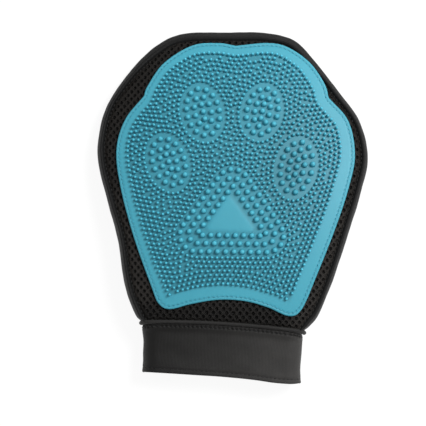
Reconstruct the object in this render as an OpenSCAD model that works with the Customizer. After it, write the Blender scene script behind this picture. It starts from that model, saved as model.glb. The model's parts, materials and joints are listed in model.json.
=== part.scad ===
// Pet grooming mitt: a sewn mesh mitt with a moulded rubber brushing pad on its palm
// and a stretch cuff. It lies on its back panel: +Z out of the palm, +Y to the fingertips.

/* [Palm and back] */
// Height of the highest point of the domed palm
palm_top = 28.5; // [27:0.5:32]
// Radius of the palm's dome
dome_r = 700; // [650:10:900]
// Y position of the top of the dome
dome_y = -40; // [-50:5:-30]
// Thickness of the mesh palm panel
palm_t = 3; // [2:0.5:3.5]
// Thickness of the mesh back panel
back_t = 2.5; // [1.5:0.5:3]

/* [Side band] */
// How far the side band bulges out beyond the seams
band_bulge = 5; // [3.5:0.5:6]
// Wall thickness of the side band
band_t = 2.5; // [1.5:0.5:3]
// Width of the seam groove beside the palm and back panels
seam_w = 1.1; // [0.8:0.1:1.5]

/* [Brushing pad] */
// Thickness of the pad's sheet
pad_t = 1.7; // [1.2:0.1:2.5]
// Height of a massage nub
nub_h = 3.2; // [2:0.2:4.5]
// Diameter of a massage nub at its root
nub_root_d = 4; // [3:0.1:4.4]
// Diameter of a massage nub at its tip
nub_tip_d = 3; // [2:0.1:3.2]
// Distance between massage nubs along a row
nub_pitch = 5.5; // [5:0.1:8]
// Distance between rows of massage nubs
nub_row = 5.4; // [5:0.1:6.5]

/* [Cuff] */
// Outer width of the cuff
cuff_w = 107; // [100:1:108]
// Outer height of the cuff
cuff_h = 22; // [18:1:22]
// Thickness of the cuff's stretch fabric
cuff_wall = 2.2; // [1.5:0.1:3]
// Distance from the wrist line to the hem at the middle of the cuff
cuff_len = 30; // [24:1:60]
// Diameter of the welt round the wrist
welt_d = 2.5; // [1.5:0.1:2.5]

/* [Stitching] */
// Diameter of the sewing thread
thread_d = 0.8; // [0.4:0.1:0.8]
// Length of one stitch
stitch_len = 1.9; // [1:0.1:2.2]
// Distance from one stitch to the next
stitch_pitch = 3; // [2.4:0.1:5]

/* [Hidden] */

rubber = "#4eb0c8";
mesh_black = "#232221";
band_black = "#2b2a29";
cuff_grey = "#3b3938";
thread_black = "#151515";

tall = 60;             // more than the height of the whole mitt
gap = 0.1;             // clearance between sewn neighbours
dome_z = palm_top - dome_r;

// Outer edge of the mitt from the left wrist over the fingertips to the right wrist
edge_points = [
    [-63.2, -73.5], [-69.5, -59], [-73, -44], [-77, -22], [-84.5, 2], [-91.5, 27],
    [-92.5, 46], [-87, 70], [-71, 95], [-55, 112], [-36, 121], [0, 122.7], [20, 123],
    [40, 118.5], [55, 103.5], [73.5, 80], [86.5, 61.5], [92, 38], [88, 15], [80, -12],
    [70.5, -43], [61, -68], [54.5, -77.5]
];
edge_steps = 3;

// The pad's outline: two finger lobes and a broad palm lobe that meet in three notches
notch_top = [0, 112];
notch_left = [-61.7, 75];
notch_right = [64, 77];
left_lobe = [notch_top, [-12, 113.7], [-30, 111.5], [-49, 98.5], [-59.5, 82], notch_left];
palm_lobe = [
    notch_left, [-74, 58], [-79, 37], [-75, 11], [-65, -22], [-52.5, -54], [-47.5, -65],
    [-40, -68.7], [-26, -65], [-8, -61.7], [10, -62.2], [25, -66], [39, -71.3],
    [47.5, -66.5], [57, -44], [69.5, -11], [78, 16], [82, 38], [77.5, 61], notch_right
];
right_lobe = [notch_right, [61, 87], [51, 101.5], [36, 112], [22, 114.7], notch_top];
pad_steps = 4;

// Each toe zone: centre, width, length, tilt
toes = [
    [[-21, 64], 31, 42, 14], [[18.8, 65.4], 30, 41.5, -12],
    [[-43, 29.4], 30, 42, 22], [[42.3, 27.8], 30, 44, -12]
];
toe_rim = 4.6;         // from a toe zone's edge to its outer ring of nubs
toe_ring = 5.4;        // from the outer ring to the inner one
toe_pitch = 5.8;       // along the rings
toe_middle = 5.1;      // between the three nubs on a zone's long axis
toe_steps = 60;
// Corners of the plain triangle in the heel zone
heel = [[0, 9.6], [-18.2, -16.4], [18.2, -16]];
heel_first_row = 2.8;
heel_rounding = [1, 6, 11];
heel_island = 0.5;     // how far the plain triangle stands up
corner_steps = 8;
nub_bed = 0.6;         // how deep a nub's cone reaches into the sheet

// The wrist line, about which the cuff bends
wrist_x = -4.4;
wrist_y = -84.05;
wrist_z = 12.5;
wrist_slope = 2.06;
hem_slope = 2.57;
palm_end = 6.2;        // from the wrist line to the end of the palm panel
back_end = 9.7;
welt_high_y = 4.6;     // welt over the palm side, ahead of the wrist line
welt_low_y = 8.2;
welt_high_z = 26.4;
welt_low_z = 1.35;
welt_w = 108.4;        // between the welt's outer centre lines
welt_rings = 64;
wrist_row = 2.6;       // rows of stitches, from the cuff's two ends
hem_row = 2.6;
bead_d = 1.2;          // overlocked bead inside each side of the cuff
panel_left = -56.5;    // corners of the palm and back panels at the wrist
panel_right = 49;
palm_arch = 2.2;       // how far the palm's wrist seam arches towards the fingers
arch_steps = 16;

function unit(v) = v / norm(v);

// A smooth curve through the points, with so many steps from each point to the next
function blend_point(a, b, c, d, t) =
    0.5 * (2 * b + (c - a) * t + (2 * a - 5 * b + 4 * c - d) * t * t
    + (3 * b - a - 3 * c + d) * t * t * t);
function smooth_curve(p, steps) = let(last = len(p) - 1) [
    for (i = [0 : last - 1], k = [0 : steps - 1]) let(
        before = i == 0 ? 2 * p[0] - p[1] : p[i - 1],
        after = i == last - 1 ? 2 * p[last] - p[last - 1] : p[i + 2]
    ) blend_point(before, p[i], p[i + 1], after, k / steps),
    p[last]
];
function without_last(p) = [for (i = [0 : len(p) - 2]) p[i]];
function reversed(p) = [for (i = [len(p) - 1 : -1 : 0]) p[i]];

// Unit normals that point out of the mitt
function normals(p) = let(last = len(p) - 1) [
    for (i = [0 : last]) let(t = unit(p[min(i + 1, last)] - p[max(i - 1, 0)])) [-t.y, t.x]
];
function inset(p, d) = let(n = normals(p)) [for (i = [0 : len(p) - 1]) p[i] - d * n[i]];

edge = smooth_curve(edge_points, edge_steps);
pad_edge = concat(
    without_last(smooth_curve(left_lobe, pad_steps)),
    without_last(smooth_curve(palm_lobe, pad_steps)),
    without_last(smooth_curve(right_lobe, pad_steps))
);

function wrist_at(x) = wrist_y - (x - wrist_x) * tan(wrist_slope);
function hem_at(x) = wrist_y - cuff_len - (x - wrist_x) * tan(hem_slope);
function dome_at(p) = dome_z + sqrt(dome_r * dome_r - p.x * p.x - pow(p.y - dome_y, 2));

// The middle of the whole mitt, which becomes the origin
edge_x = [for (p = edge) p.x];
edge_y = [for (p = edge) p.y];
middle = [
    (max(edge_x) + min(edge_x)) / 2,
    (max(edge_y) + hem_at(wrist_x + cuff_w / 2)) / 2
];

module placed() {
    translate([-middle.x, -middle.y, 0]) children();
}

// What lies between two heights above the palm's dome, with the spheres' poles off the palm
module dome_layer(low, high) {
    translate([0, dome_y, dome_z]) rotate([90, 0, 0]) difference() {
        sphere(r = dome_r + high, $fn = 200);
        sphere(r = dome_r + low, $fn = 200);
    }
}

// Stands its children on the dome at a point, square to the surface
module on_dome(p, lift) {
    translate([0, dome_y, dome_z])
        rotate([-asin((p.y - dome_y) / dome_r), asin(p.x / dome_r), 0])
            translate([0, 0, dome_r + lift]) children();
}

// Outline of a mitt panel whose edge lies so far inside the outer edge, and whose wrist
// end is a shallow arch
function arch_at(x, rise) = rise * (1 - pow((x - wrist_x) / (welt_w / 2), 2));
module panel_outline(d, end, rise) {
    polygon(concat(inset(edge, d), [
        for (k = [0 : arch_steps]) let(
            x = panel_right + (panel_left - panel_right) * k / arch_steps
        ) [x, wrist_at(x) + end + arch_at(x, rise)]
    ]));
}

// Narrow strip that follows the outer edge between two insets
module edge_strip(d_out, d_in) {
    polygon(concat(inset(edge, d_out), reversed(inset(edge, d_in))));
}

// Stadium path, measured clockwise from the left end of its top flat: [x, z, turn]
function stadium_at(s, w, h) = let(flat = w - h, arc = PI * h / 2) (
    s < flat ? [s - flat / 2, h / 2, 0]
    : s < flat + arc ? let(a = 180 * (s - flat) / arc)
        [flat / 2 + h / 2 * sin(a), h / 2 * cos(a), a]
    : s < 2 * flat + arc ? [flat / 2 - (s - flat - arc), -h / 2, 180]
    : let(a = 180 * (s - 2 * flat - arc) / arc)
        [-flat / 2 - h / 2 * sin(a), -h / 2 * cos(a), 180 + a]
);
function stadium_length(w, h) = 2 * (w - h) + PI * h;

module stadium(w, h) {
    square([w - h, h], center = true);
    for (side = [-1, 1]) translate([side * (w - h) / 2, 0]) circle(d = h, $fn = 64);
}

// One lockstitch, lying along X
module stitch() {
    rotate([0, 90, 0]) cylinder(d = thread_d, h = stitch_len, center = true, $fn = 16);
}

// Evenly spaced points round a triangle that is moved out by d and rounded by r
function line_cross(a, u, b, v) = a + u * (cross(b - a, v) / cross(u, v));
function moved_corner(c, i, d) = let(
    a = c[(i + 2) % 3], b = c[i], e = c[(i + 1) % 3],
    u = unit(b - a), v = unit(e - b),
    nu = [u.y, -u.x], nv = [v.y, -v.x]
) line_cross(a + d * nu, u, b + d * nv, v);
function moved_triangle(c, d) = [for (i = [0 : 2]) moved_corner(c, i, d)];
function rounded_corner(c, i, r, steps) = let(
    b = c[i], u = unit(c[(i + 2) % 3] - b), v = unit(c[(i + 1) % 3] - b),
    half = acos(u * v) / 2, hub = b + unit(u + v) * r / sin(half),
    from = b + u * r / tan(half) - hub, to = b + v * r / tan(half) - hub,
    sweep = 180 - 2 * half, turn = cross(from, to) > 0 ? 1 : -1
) [
    for (k = [0 : steps]) let(a = turn * sweep * k / steps)
        hub + [from.x * cos(a) - from.y * sin(a), from.x * sin(a) + from.y * cos(a)]
];
function rounded_triangle(c, r) = [for (i = [0 : 2]) each rounded_corner(c, i, r, corner_steps)];

function run_lengths(p, i = 0, so_far = 0) =
    i == len(p) ? [so_far]
    : concat([so_far], run_lengths(p, i + 1, so_far + norm(p[(i + 1) % len(p)] - p[i])));
function point_along(p, runs, s, i = 0) =
    (i == len(p) - 1 || s < runs[i + 1])
    ? p[i] + (p[(i + 1) % len(p)] - p[i]) * (s - runs[i]) / max(0.001, runs[i + 1] - runs[i])
    : point_along(p, runs, s, i + 1);
function turn_along(p, runs, s, i = 0) =
    (i == len(p) - 1 || s < runs[i + 1])
    ? let(t = p[(i + 1) % len(p)] - p[i]) atan2(t.y, t.x)
    : turn_along(p, runs, s, i + 1);

// Nub places of a toe zone: two rings that start at opposite ends, and three in the middle
function turned(toe, p) = let(a = toe[3])
    toe[0] + [p.x * cos(a) - p.y * sin(a), p.x * sin(a) + p.y * cos(a)];
function toe_ellipse(toe, ring) = let(
    a = toe[1] / 2 - toe_rim - ring * toe_ring, b = toe[2] / 2 - toe_rim - ring * toe_ring,
    end = ring == 0 ? 1 : -1
) [for (i = [0 : toe_steps - 1]) end * [a * sin(360 * i / toe_steps), b * cos(360 * i / toe_steps)]];
function toe_places(toe) = [
    for (ring = [0, 1]) let(
        path = toe_ellipse(toe, ring), runs = run_lengths(path), total = runs[len(path)],
        count = round(total / toe_pitch)
    ) each [for (k = [0 : count - 1]) turned(toe, point_along(path, runs, k * total / count))],
    for (j = [-1 : 1]) turned(toe, [0, j * toe_middle])
];

// Three rounded rows of nubs round the plain triangle of the heel zone. The first row has a
// nub at the top corner and the others have one on each side of it.
function heel_places(row) = let(
    path = rounded_triangle(moved_triangle(heel, heel_first_row + row * nub_row), heel_rounding[row]),
    runs = run_lengths(path), total = runs[len(path)], count = round(total / nub_pitch),
    start = runs[corner_steps / 2] + (row == 0 ? 0 : 0.5) * total / count
) [for (k = [0 : count - 1]) point_along(path, runs, (start + k * total / count) % total)];

module nub(p) {
    on_dome(p, pad_t - nub_bed)
        cylinder(d1 = nub_root_d, d2 = nub_tip_d, h = nub_h + nub_bed, $fn = 24);
}

module pad_sheet() {
    intersection() {
        linear_extrude(tall) polygon(pad_edge);
        dome_layer(0.05, pad_t);
    }
    intersection() {
        linear_extrude(tall) polygon(rounded_triangle(heel, 2));
        dome_layer(pad_t - nub_bed, pad_t + heel_island);
    }
}

module grooming_pad() {
    color(rubber) placed() union() {
        pad_sheet();
        for (toe = toes, p = toe_places(toe)) nub(p);
        for (row = [0 : 2], p = heel_places(row)) nub(p);
    }
}

module pad_stitching() {
    path = inset(concat(pad_edge, [pad_edge[0]]), -2.2);
    runs = run_lengths(path);
    total = runs[len(path) - 1];
    count = floor(total / stitch_pitch);
    color(rubber) placed()
        for (k = [0 : count - 1]) let(s = (k + 0.5) * total / count)
            on_dome(point_along(path, runs, s), pad_t + thread_d / 2 + 0.02)
                rotate([0, 0, turn_along(path, runs, s)]) stitch();
}

module palm_panel() {
    color(mesh_black) placed() intersection() {
        linear_extrude(tall) panel_outline(band_bulge + seam_w, palm_end, palm_arch);
        dome_layer(-palm_t, 0);
    }
}

module palm_seam_thread() {
    color(thread_black) placed() intersection() {
        linear_extrude(tall) edge_strip(band_bulge + gap, band_bulge + seam_w - gap);
        dome_layer(-1.3, -0.4);
    }
}

module back_panel() {
    color(mesh_black) placed()
        linear_extrude(back_t) panel_outline(band_bulge + seam_w, back_end, 0);
}

module back_seam_thread() {
    color(thread_black) placed() translate([0, 0, 0.4])
        linear_extrude(0.9) edge_strip(band_bulge + gap, band_bulge + seam_w - gap);
}

// Cross-section of the side band: a hollow half-ellipse from the back seam to the palm seam
band_arc = 5;
function band_section(h) = concat(
    [for (k = [0 : band_arc]) let(a = 90 - 180 * k / band_arc)
        [band_bulge * cos(a), h / 2 + h / 2 * sin(a)]],
    [for (k = [band_arc : -1 : 0]) let(a = 90 - 180 * k / band_arc)
        [(band_bulge - band_t) * cos(a), h / 2 + (h / 2 - band_t) * sin(a)]]
);

module side_band() {
    seam = inset(edge, band_bulge);
    out = normals(edge);
    ring = 2 * (band_arc + 1);
    count = len(seam);
    points = [
        for (i = [0 : count - 1], q = band_section(dome_at(seam[i])))
            [seam[i].x + out[i].x * q.x, seam[i].y + out[i].y * q.x, q.y]
    ];
    walls = [
        for (i = [0 : count - 2], j = [0 : ring - 1]) let(k = (j + 1) % ring)
            each [
                [i * ring + j, i * ring + k, (i + 1) * ring + k],
                [i * ring + j, (i + 1) * ring + k, (i + 1) * ring + j]
            ]
    ];
    caps = [
        for (j = [0 : band_arc - 1]) let(
            k = ring - 1 - j, base = (count - 1) * ring
        ) each [
            [j + 1, j, k - 1],
            [j, k, k - 1],
            [base + j, base + j + 1, base + k - 1],
            [base + j, base + k - 1, base + k]
        ]
    ];
    color(band_black) placed()
        polyhedron(points = points, faces = concat(walls, caps), convexity = 6);
}

// A closed tube swept along a ring of points that goes round the Y axis
module closed_tube(path, d, sides) {
    count = len(path);
    points = [
        for (i = [0 : count - 1]) let(
            along = unit(path[(i + 1) % count] - path[(i + count - 1) % count]),
            across = unit(cross(along, [0, 1, 0])), up = cross(across, along)
        ) for (j = [0 : sides - 1]) let(a = 360 * j / sides)
            path[i] + d / 2 * (cos(a) * across + sin(a) * up)
    ];
    faces = [
        for (i = [0 : count - 1], j = [0 : sides - 1]) let(
            i2 = (i + 1) % count, j2 = (j + 1) % sides
        ) each [
            [i * sides + j, i2 * sides + j, i2 * sides + j2],
            [i * sides + j, i2 * sides + j2, i * sides + j2]
        ]
    ];
    polyhedron(points = points, faces = faces, convexity = 6);
}

module wrist_welt() {
    rise = welt_high_z - welt_low_z;
    total = stadium_length(welt_w, rise);
    path = [
        for (k = [0 : welt_rings - 1]) let(
            q = stadium_at(k * total / welt_rings, welt_w, rise),
            up = q.y / rise + 0.5, x = wrist_x + q.x,
            ahead = welt_low_y + (welt_high_y - welt_low_y) * up + arch_at(x, palm_arch) * up
        ) [x, wrist_at(x) + ahead, (welt_high_z + welt_low_z) / 2 + q.y]
    ];
    color(cuff_grey) placed() closed_tube(path, welt_d, 10);
}

// Plan of the cuff between the slanted wrist line and the slanted hem
module cuff_plan() {
    reach = cuff_w / 2 + 5;
    x0 = wrist_x - reach;
    x1 = wrist_x + reach;
    polygon([[x0, wrist_at(x0)], [x1, wrist_at(x1)], [x1, hem_at(x1)], [x0, hem_at(x0)]]);
}

module cuff_tube() {
    intersection() {
        linear_extrude(tall) cuff_plan();
        translate([wrist_x, wrist_y + cuff_w / 4, wrist_z]) rotate([90, 0, 0])
            linear_extrude(cuff_w / 2 + cuff_len)
                difference() {
                    stadium(cuff_w, cuff_h);
                    stadium(cuff_w - 2 * cuff_wall, cuff_h - 2 * cuff_wall);
                }
    }
}

module cuff_half(low) {
    intersection() {
        cuff_tube();
        translate([wrist_x - cuff_w, wrist_y - 2 * cuff_len, wrist_z + low])
            cube([2 * cuff_w, 3 * cuff_len, cuff_h]);
    }
}

module cuff_front() {
    color(cuff_grey) placed() cuff_half(gap / 2);
}

module cuff_back() {
    color(cuff_grey) placed() cuff_half(-cuff_h - gap / 2);
}

module cuff_bead(side) {
    x = side * (cuff_w / 2 - cuff_wall - bead_d / 2 - 0.1);
    top = wrist_at(wrist_x + x) - 1;
    bottom = hem_at(wrist_x + x) + 1;
    color(thread_black) placed() translate([wrist_x + x, top, wrist_z])
        rotate([90, 0, 0]) cylinder(d = bead_d, h = top - bottom, $fn = 24);
}

module cuff_seam_left() {
    cuff_bead(-1);
}

module cuff_seam_right() {
    cuff_bead(1);
}

module cuff_stitches(at_hem) {
    total = stadium_length(cuff_w, cuff_h);
    count = floor(total / stitch_pitch);
    lift = thread_d / 2 + 0.02;
    for (k = [0 : count - 1]) let(
        q = stadium_at((k + 0.5) * total / count, cuff_w, cuff_h),
        x = wrist_x + q.x + lift * sin(q.z),
        y = at_hem ? hem_at(x) + hem_row : wrist_at(x) - wrist_row,
        z = wrist_z + q.y + lift * cos(q.z)
    ) translate([x, y, z]) rotate([0, q.z, 0]) stitch();
}

module wrist_stitching() {
    color(thread_black) placed() cuff_stitches(false);
}

module hem_stitching() {
    color(thread_black) placed() cuff_stitches(true);
}

grooming_pad();
pad_stitching();
palm_panel();
side_band();
palm_seam_thread();
back_panel();
back_seam_thread();
wrist_welt();
cuff_front();
cuff_back();
cuff_seam_left();
cuff_seam_right();
wrist_stitching();
hem_stitching();
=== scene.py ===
"""Pet grooming mitt: the looks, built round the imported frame. Sizes are in millimetres, in the
design's own plan, and become metres in the frame when a mesh is made."""

import json
import math

import bmesh
import bpy
import numpy as np
from mathutils import Matrix, Vector, noise
from mathutils.geometry import delaunay_2d_cdt


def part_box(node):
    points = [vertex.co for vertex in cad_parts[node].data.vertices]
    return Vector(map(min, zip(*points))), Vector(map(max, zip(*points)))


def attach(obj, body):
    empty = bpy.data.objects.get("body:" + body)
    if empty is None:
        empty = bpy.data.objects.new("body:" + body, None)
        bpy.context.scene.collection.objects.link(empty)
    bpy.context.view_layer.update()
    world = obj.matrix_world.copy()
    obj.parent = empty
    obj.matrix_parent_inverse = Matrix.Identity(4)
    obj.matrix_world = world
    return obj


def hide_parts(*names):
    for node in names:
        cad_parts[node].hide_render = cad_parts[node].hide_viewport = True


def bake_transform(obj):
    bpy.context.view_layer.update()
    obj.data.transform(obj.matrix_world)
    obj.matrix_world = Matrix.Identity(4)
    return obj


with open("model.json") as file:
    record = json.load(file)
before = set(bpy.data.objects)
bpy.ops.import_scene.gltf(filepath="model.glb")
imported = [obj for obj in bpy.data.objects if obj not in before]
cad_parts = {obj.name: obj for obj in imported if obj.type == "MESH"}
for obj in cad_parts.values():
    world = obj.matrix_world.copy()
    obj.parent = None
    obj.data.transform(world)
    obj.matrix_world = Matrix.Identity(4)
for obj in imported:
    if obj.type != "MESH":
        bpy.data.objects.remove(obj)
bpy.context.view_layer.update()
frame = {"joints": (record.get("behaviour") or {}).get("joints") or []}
scene = bpy.context.scene
MM = 0.001

# -------------------------------- the design's driving sizes

WRIST = np.array([-4.4, -84.05, 12.5])  # the wrist line's middle, where the cuff bends
JOINT = frame["joints"][0]
SHIFT = np.array(JOINT["pos_m"]) / MM - WRIST
AXIS = np.array(JOINT["axis"])
WRIST_SLOPE = AXIS[1] / AXIS[0]
PALM_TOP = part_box("palm_panel")[1].z / MM
BACK_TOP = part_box("back_panel")[1].z / MM
PAD_T = 1.7
DOME_R = 700.0
DOME_Y = -40.0

# The mitt's outer edge, from the left wrist over the fingertips to the right wrist
EDGE = [
    (-63.2, -73.5), (-69.5, -59), (-73, -44), (-77, -22), (-84.5, 2), (-91.5, 27),
    (-92.5, 46), (-87, 70), (-71, 95), (-55, 112), (-36, 121), (0, 122.7), (20, 123),
    (40, 118.5), (55, 103.5), (73.5, 80), (86.5, 61.5), (92, 38), (88, 15), (80, -12),
    (70.5, -43), (61, -68), (54.5, -77.5),
]
EDGE_TO_WELT = [(-58.9, -77.6)], [(49.6, -81.4)]

# The pad's three lobes, which meet in notches
NOTCH_TOP, NOTCH_LEFT, NOTCH_RIGHT = (0, 112), (-61.7, 75), (64, 77)
LEFT_LOBE = [NOTCH_TOP, (-12, 113.7), (-30, 111.5), (-49, 98.5), (-59.5, 82), NOTCH_LEFT]
PALM_LOBE = [
    NOTCH_LEFT, (-74, 58), (-79, 37), (-75, 11), (-65, -22), (-52.5, -54), (-47.5, -65),
    (-40, -68.7), (-26, -65), (-8, -61.7), (10, -62.2), (25, -66), (39, -71.3),
    (47.5, -66.5), (57, -44), (69.5, -11), (78, 16), (82, 38), (77.5, 61), NOTCH_RIGHT,
]
RIGHT_LOBE = [NOTCH_RIGHT, (61, 87), (51, 101.5), (36, 112), (22, 114.7), NOTCH_TOP]

# Toe zones: centre, width, length and tilt; heel zone: corners of its plain triangle
TOES = [
    ((-21, 64), 31, 42, 14), ((18.8, 65.4), 30, 41.5, -12),
    ((-43, 29.4), 30, 42, 22), ((42.3, 27.8), 30, 44, -12),
]
TOE_RIM, TOE_RING, TOE_PITCH, TOE_MIDDLE = 4.6, 5.4, 5.8, 5.1
HEEL = [(0, 9.6), (-18.2, -16.4), (18.2, -16)]
ISLAND = [(-3, 9), (-17.8, -16), (16.2, -16)]
HEEL_FIRST_ROW = 2.8
HEEL_ROUNDING = (1, 6, 11)
HEEL_REACH, HEEL_ROUND = 17.6, 15.0
NUB_PITCH = 5.5
NUB_ROW = 5.4
BRISTLE_PITCH, BRISTLE_ROW = 3.35, 2.9

BAND_BULGE = 5.0
PANEL_INSET = BAND_BULGE + 0.4
WELT_W, WELT_D, PALM_ARCH = 109.4, 2.5, 2.2
WELT_HIGH_Z, WELT_LOW_Z = 26.4, 1.35
WELT_HIGH_Y, WELT_LOW_Y = 4.6, 8.2
WELT_SIDE_DIP = 1.2


# -------------------------------- curves and regions

def smooth_curve(points, steps):
    """Catmull-Rom through the points, as the frame's own outline is drawn."""
    p = np.array(points, float)
    p = np.vstack([2 * p[0] - p[1], p, 2 * p[-1] - p[-2]])
    a, b, c, d = (p[i:len(p) - 3 + i, None] for i in range(4))
    t = (np.arange(steps) / steps)[None, :, None]
    curve = 0.5 * (2 * b + (c - a) * t + (2 * a - 5 * b + 4 * c - d) * t ** 2
                   + (3 * b - a - 3 * c + d) * t ** 3)
    return np.vstack([curve.reshape(-1, p.shape[1]), p[-2]])


def lengths(path):
    return np.concatenate([[0], np.cumsum(np.linalg.norm(np.diff(path, axis=0), axis=1))])


def resample(path, step):
    """Points at equal steps along an open path, both ends kept."""
    runs = lengths(path)
    at = np.linspace(0, runs[-1], max(2, int(round(runs[-1] / step)) + 1))
    return np.column_stack([np.interp(at, runs, path[:, k]) for k in range(path.shape[1])])


def ring_at(path, step, start=0.5):
    """Evenly spaced places round a closed path, and the direction of travel there."""
    ring = np.vstack([path, path[:1]])
    runs = lengths(ring)
    count = max(3, int(round(runs[-1] / step)))
    at = (np.arange(count) + start) * runs[-1] / count
    spots = np.column_stack([np.interp(at, runs, ring[:, k]) for k in range(2)])
    ahead = np.column_stack([np.interp((at + 0.4) % runs[-1], runs, ring[:, k]) for k in range(2)])
    return spots, np.arctan2(*(ahead - spots).T[::-1])


def normed(v):
    return v / np.linalg.norm(v, axis=1)[:, None]


def outward(path, closed):
    """Unit normals that point out of the region that a path goes round."""
    if closed:
        along = np.roll(path, -1, axis=0) - np.roll(path, 1, axis=0)
    else:
        along = np.gradient(path, axis=0)
    n = normed(np.column_stack([along[:, 1], -along[:, 0]]))
    x, y = path.T
    area = np.sum(x * np.roll(y, -1) - np.roll(x, -1) * y)
    return n if area > 0 else -n


def inset(path, d, closed=True):
    return path - np.asarray(d).reshape(-1, 1) * outward(path, closed)


def inside(points, ring):
    """Even-odd test of many points against one closed ring."""
    x, y = points[:, 0, None], points[:, 1, None]
    x0, y0 = ring.T
    x1, y1 = np.roll(ring, -1, axis=0).T
    crosses = (y0 > y) != (y1 > y)
    climb = np.where(y1 == y0, 1e-9, y1 - y0)
    return (np.sum(crosses & (x < (x1 - x0) * (y - y0) / climb + x0), axis=1) % 2) == 1


def nearest(points, ring):
    """For each point, the closest point on a closed ring and its distance."""
    a, b = ring, np.roll(ring, -1, axis=0)
    ab = b - a
    best = np.full(len(points), 1e9)
    spot = np.zeros((len(points), 2))
    for low in range(0, len(points), 2000):
        p = points[low:low + 2000, None, :]
        t = np.clip(np.sum((p - a) * ab, axis=2) / np.maximum(np.sum(ab * ab, axis=1), 1e-12), 0, 1)
        foot = a + t[..., None] * ab
        d = np.linalg.norm(p - foot, axis=2)
        k = np.argmin(d, axis=1)
        rows = np.arange(len(k))
        best[low:low + 2000] = d[rows, k]
        spot[low:low + 2000] = foot[rows, k]
    return spot, best


def depth_in(points, ring):
    """Distance inside a ring, negative outside it."""
    d = nearest(points, ring)[1]
    return np.where(inside(points, ring), d, -d)


def wrist_at(x):
    return WRIST[1] + (np.asarray(x) - WRIST[0]) * WRIST_SLOPE


def arch_at(x, height=PALM_ARCH):
    return height * (1 - ((np.asarray(x) - WRIST[0]) / (WELT_W / 2)) ** 2)


def dome(x, y):
    """Height of the palm's surface."""
    return PALM_TOP - DOME_R + np.sqrt(DOME_R ** 2 - x ** 2 - (y - DOME_Y) ** 2)


def raised(plan, height):
    """Places in the plan, lifted by height(x, y)."""
    return np.column_stack([plan, height(*plan.T)])


def over_palm(lift):
    return lambda x, y: dome(x, y) + lift


def level(z):
    return lambda x, y: 0 * x + z


def dome_normal(x, y):
    n = np.column_stack([x, y - DOME_Y, np.sqrt(DOME_R ** 2 - x ** 2 - (y - DOME_Y) ** 2)])
    return n / DOME_R


def rise(x, low, high):
    """Smooth step from 0 at low to 1 at high."""
    t = np.clip((x - low) / (high - low), 0, 1)
    return t * t * (3 - 2 * t)


def ripple(points, size, seed):
    """Smooth noise from -1 to 1 whose features are about so many millimetres across."""
    offset = Vector((17.3 * seed, -9.1 * seed, 5.7 * seed))
    return np.array([noise.noise(Vector(p) / size + offset) for p in points])


def edge_inset(d):
    """A line so far inside the mitt's edge, whose ends stand square on the wrist."""
    return edge - np.asarray(d).reshape(-1, 1) * edge_out


def in_toe(toe, x, y):
    """Turns places from a toe zone's own axes into the plan."""
    (cx, cy), _, _, tilt = toe
    t = math.radians(tilt)
    return np.column_stack([cx + x * math.cos(t) - y * math.sin(t),
                            cy + x * math.sin(t) + y * math.cos(t)])


def ellipse(toe, grow, count):
    _, w, l, _ = toe
    a = np.linspace(0, 2 * math.pi, count, endpoint=False)
    return in_toe(toe, (w / 2 + grow) * np.cos(a), (l / 2 + grow) * np.sin(a))


def rounded_triangle(corners, grow, radius):
    """A triangle moved out by so much, with rounded corners."""
    c = np.array(corners, float)
    unit = normed(np.roll(c, -1, axis=0) - c)
    turn = np.sign(np.cross(unit[0], unit[1]))
    out = turn * np.column_stack([unit[:, 1], -unit[:, 0]])
    moved = []
    for i in range(3):
        h = i - 1
        grid = np.array([out[h], out[i]])
        moved.append(np.linalg.solve(grid, [out[h] @ c[i] + grow, out[i] @ c[i] + grow]))
    path = []
    for i in range(3):
        b = moved[i]
        u, v = (moved[j] - b for j in ((i + 2) % 3, (i + 1) % 3))
        u, v = u / np.linalg.norm(u), v / np.linalg.norm(v)
        half = math.acos(u @ v) / 2
        hub = b + (u + v) / np.linalg.norm(u + v) * radius / math.sin(half)
        start, end = (math.atan2(*(b + w * radius / math.tan(half) - hub)[::-1]) for w in (u, v))
        swing = (end - start + math.pi) % (2 * math.pi) - math.pi
        a = start + np.linspace(0, swing, 12)
        path.append(np.column_stack([hub[0] + radius * np.cos(a), hub[1] + radius * np.sin(a)]))
    return resample(np.vstack(path + [path[0][:1]]), 0.8)[:-1]


edge = resample(smooth_curve(EDGE_TO_WELT[0] + EDGE + EDGE_TO_WELT[1], 12), 0.75)
above_wrist = edge[:, 1] - wrist_at(edge[:, 0])
square_on = 1 - rise(above_wrist, 5, 12)[:, None]
edge_out = normed((1 - square_on) * outward(edge, False) + square_on * np.sign(edge) * [1, 0])
pad_edge = np.vstack([
    resample(smooth_curve(lobe, 12), 0.75)[:-1] for lobe in (LEFT_LOBE, PALM_LOBE, RIGHT_LOBE)
])


# -------------------------------- meshes

def place_in_scene(name, data):
    obj = bpy.data.objects.new(name, data)
    scene.collection.objects.link(obj)
    return obj


def on_mitt(piece, node_name=None):
    """Joins a piece to the mitt's body, and hides the CAD node that it stands in for, if one is
    named.
    """
    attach(piece, "mitt")
    if node_name:
        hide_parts(node_name)


def make(name, points, faces, material, uv=None, tone=1.0):
    """A mesh object from points in the design's millimetres. The tone scales its colour and carries
    painted light and shade.
    """
    mesh = bpy.data.meshes.new(name)
    placed = (np.asarray(points, float) + SHIFT) * MM
    mesh.from_pydata(placed.tolist(), [], [list(f) for f in faces])
    if uv is not None:
        layer = mesh.uv_layers.new(name="UVMap")
        corner = np.zeros(len(mesh.loops), np.int32)
        mesh.loops.foreach_get("vertex_index", corner)
        layer.data.foreach_set("uv", np.asarray(uv, np.float32)[corner].ravel())
    layer = mesh.attributes.new("tone", "FLOAT", "POINT")
    layer.data.foreach_set("value", np.broadcast_to(np.float32(tone), len(placed)))
    mesh.validate()
    mesh.polygons.foreach_set("use_smooth", [True] * len(mesh.polygons))
    mesh.materials.append(material)
    return place_in_scene(name, mesh)


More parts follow.
